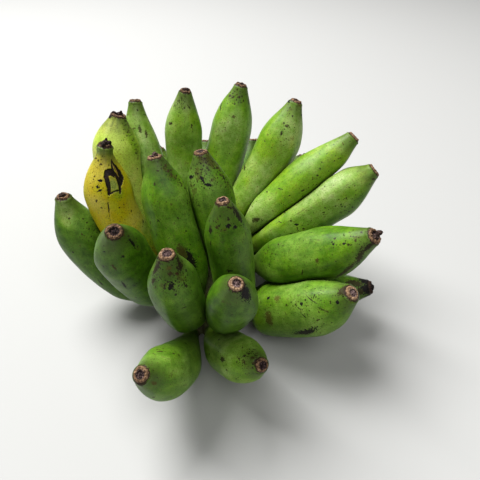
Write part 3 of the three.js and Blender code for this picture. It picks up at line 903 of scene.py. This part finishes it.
GREEN_BANDS = [(0.0, "#2a4a05"), (0.2, "#44700c"), (0.42, "#669418"), (0.65, "#8aae28"), (0.95, "#b4ce52")]


def grow(name, material, slot, **detail):
    """Makes one fruit in the place of its CAD node, and gives it with where its points lie."""
    points, faces, where = fruit_skin(name, **detail)
    low, high = (np.array(side) / MM for side in cad_box)
    piece = new_piece("peel_" + name, np.clip(points, low, high) * MM, faces)
    store_where(piece, name, where)
    piece.data.materials.append(material)
    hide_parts("fruit_" + name)
    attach(piece, "root")
    return piece, where


green_peel = peel_material("Unripe banana peel, waxy", GREEN_BANDS)
for fruit_name in FRUIT:
    if fruit_name != "left_yellow":
        grow(fruit_name, green_peel, "skin_green")

# The ripening fruit: the same peel gone yellow, with green left at its neck. A tear in the skin
# has dried to thick black edges round a window of paler peel, with brown flesh showing in its
# crack, and a dark split runs down from it along a ridge.

YELLOW_BANDS = [(0.0, "#5a7f1e"), (0.4, "#84a020"), (0.62, "#a4a812"), (0.85, "#b6ae0c"), (1.0, "#b8a20c")]

# The dried edges, the crack and the split as strokes: share of the length, angle, width in mm.
DRIED_EDGES = [
    [(0.885, -142, 3.8), (0.863, -143, 4.6), (0.837, -140, 4.2), (0.804, -139, 3.2), (0.767, -141, 2.6)],
    [(0.885, -145, 2.4), (0.885, -134, 5), (0.882, -123, 5.6), (0.862, -117, 3)],
    [(0.885, -119, 3.4), (0.862, -109, 3.6), (0.838, -106, 4.2), (0.8, -109, 2.8), (0.757, -114, 1.8)],
    [(0.767, -142, 2), (0.774, -133, 1.8), (0.779, -122, 1.5), (0.776, -115, 1.6)],
    [(0.947, -103, 1.2), (0.928, -102, 2.3), (0.904, -95, 3.4), (0.873, -91, 4.8), (0.839, -93, 4.8),
     (0.8, -104, 1.6)],
    [(0.94, -108, 1.6), (0.915, -112, 2.6), (0.89, -115, 3), (0.865, -108, 2.6)],
]
CRACK = [[(0.925, -106, 1.2), (0.9, -104, 1.6), (0.874, -102, 1.4), (0.848, -100, 0.8)]]
SPLIT = [[(0.722, -148, 0.8), (0.68, -150, 1.2), (0.654, -152, 0.7), (0.616, -155, 0.5), (0.577, -158, 0.4)]]

# The window between them: share of the length, angle, half length and half width in mm.
WINDOW = (0.815, -126, 6, 4.5)

# The mesh is finer where the tear is. FULL_LENGTH and WOUND_REACH, in mm, turn shares and angles
# near the tear into distances.
FINE_SHARES = np.concatenate([
    np.linspace(0, 0.5, 60, endpoint=False),
    np.linspace(0.5, 0.93, 130, endpoint=False),
    np.linspace(0.93, 0.972, 14),
])
FULL_LENGTH = 136
WOUND_REACH = 16


def inside_strokes(strokes, length, angle):
    """How many millimetres a place lies inside the nearest stroke; below 0 is outside."""
    best = np.full(np.broadcast(length, angle).shape, -20.0)
    for stroke in strokes:
        for (s0, a0, w0), (s1, a1, w1) in zip(stroke, stroke[1:]):
            ahead, aside = (s1 - s0) * FULL_LENGTH, math.radians(a1 - a0) * WOUND_REACH
            turn = angle - math.radians(a0)
            x = length - s0 * FULL_LENGTH
            y = np.arctan2(np.sin(turn), np.cos(turn)) * WOUND_REACH
            k = np.clip((x * ahead + y * aside) / (ahead ** 2 + aside ** 2), 0, 1)
            off = np.hypot(x - k * ahead, y - k * aside)
            best = np.maximum(best, (w0 + (w1 - w0) * k) / 2 - off)
    return best


def wound_dent(length, angle, reach):
    """How deep the skin is sunk at the tear: the dried edges have shrunk, with a lip round them."""
    dried = inside_strokes(DRIED_EDGES, length, angle)
    crack = inside_strokes(CRACK + SPLIT, length, angle)
    lip = np.exp(-((dried + 0.35) / 0.45) ** 2)
    return 0.7 * smooth(dried / 1.1 + 0.2) - 0.3 * lip + 0.45 * smooth(crack / 0.5 + 0.5)


def inside_window(length, angle):
    """How far a place lies inside the window of paler peel; below 0 is outside."""
    share, degrees, long, wide = WINDOW
    turn = angle - math.radians(degrees)
    aside = np.arctan2(np.sin(turn), np.cos(turn)) * WOUND_REACH
    return 1.3 - np.hypot((length - share * FULL_LENGTH) / long, aside / wide)


# The torn layers, from below: how far each one's edge wanders in mm, how sharply it ends, and its
# colours.
TORN = [
    ("window", 0.0, 1.2, [(0.35, "#6a7a2c"), (0.55, "#8a9440"), (0.7, "#a3a256")]),
    ("dried", 1.6, 3.0, [(0.35, "#0c0908"), (0.55, "#1c120e"), (0.68, "#3a241a")]),
    ("crack", 0.9, 4.0, [(0.4, "#4a2a16"), (0.5, "#7c5230"), (0.62, "#a5824e")]),
    ("split", 0.6, 4.0, [(0.4, "#140e0a"), (0.6, "#2c1c10")]),
]

yellow_peel = peel_material("Ripening banana peel, waxy", YELLOW_BANDS)
peel_tree = yellow_peel.node_tree
peel_shader = peel_tree.nodes["Principled BSDF"]
peel_colour = peel_shader.inputs["Base Color"].links[0].from_socket
torn_place = add(peel_tree, "TexCoord", out="Object")
torn_grain = add(peel_tree, "TexNoise", {"Vector": torn_place, "Scale": 1 / (1.2 * MM), "Detail": 3})
centred = add(peel_tree, "SUBTRACT", [torn_grain, 0.5])
for layer, wander, sharp, stops in TORN:
    depth = add(peel_tree, "Attribute", out="Fac", attribute_name=layer)
    edge = add(peel_tree, "MULTIPLY_ADD", [centred, wander, depth])
    shown = add(peel_tree, "MULTIPLY", [edge, sharp], use_clamp=True)
    coat = add(peel_tree, "ValToRGB", [torn_grain], stops=stops)
    peel_colour = add(peel_tree, "Mix", {0: shown, 6: peel_colour, 7: coat}, out=2, data_type="RGBA")
peel_tree.links.new(peel_colour, peel_shader.inputs["Base Color"])

torn_peel, torn_where = grow(
    "left_yellow", yellow_peel, "skin_yellow", sides=200, shares=FINE_SHARES, dent=wound_dent
)
torn_spot = torn_where["length"], torn_where["angle"]
store(torn_peel, "window", inside_window(*torn_spot))
for layer, strokes in (("dried", DRIED_EDGES), ("crack", CRACK), ("split", SPLIT)):
    store(torn_peel, layer, inside_strokes(strokes, *torn_spot))

# The floor, the light and the camera: a plain pale floor under soft, large studio lights from
# above, seen from the photograph's side and height.


def floor_material():
    """Matt white board."""
    material = bpy.data.materials.new("White board, matt")
    material.use_nodes = True
    shader = material.node_tree.nodes["Principled BSDF"]
    shader.inputs["Base Color"].default_value = linear("#aeaeac")
    shader.inputs["Roughness"].default_value = 0.9
    return material


FLOOR_SIZE = 12.0
bpy.ops.mesh.primitive_plane_add(size=FLOOR_SIZE)
floor = bpy.context.object
floor.name = "floor"
floor.data.materials.append(floor_material())


def softbox(name, place, aim, size, power):
    """A large square light that faces the given point."""
    light = bpy.data.lights.new(name, "AREA")
    light.size, light.energy = size, power
    lamp = bpy.data.objects.new(name, light)
    lamp.location = place
    away = lamp.location - Vector(aim)
    lamp.rotation_euler = away.to_track_quat("Z", "Y").to_euler()
    bpy.context.collection.objects.link(lamp)


BUNCH_MIDDLE = (0, 0, 0.08)
softbox("softbox_above", (-0.9, 0.8, 2.1), BUNCH_MIDDLE, 1.5, 125)
softbox("softbox_front", (0.5, -1.1, 1.9), BUNCH_MIDDLE, 1.5, 22)

# A little even light from all sides fills the shadows.
world = bpy.data.worlds.new("White studio")
world.use_nodes = True
world.node_tree.nodes["Background"].inputs["Color"].default_value = (1, 1, 1, 1)
world.node_tree.nodes["Background"].inputs["Strength"].default_value = 0.1
bpy.context.scene.world = world
bpy.context.scene.view_settings.view_transform = "Standard"

# The camera stands about 425 mm from the bunch's foot and looks down on it, as in the photograph.
CAMERA_PLACE = (0.022, -0.2816, 0.3152)
CAMERA_TILT = 50
camera_data = bpy.data.cameras.new("camera")
camera_data.sensor_width = 36
camera_data.lens = 33
camera_data.clip_start = 0.01
camera = bpy.data.objects.new("camera", camera_data)
camera.location = CAMERA_PLACE
camera.rotation_euler = (math.radians(CAMERA_TILT), 0, 0)
bpy.context.collection.objects.link(camera)
bpy.context.scene.camera = camera
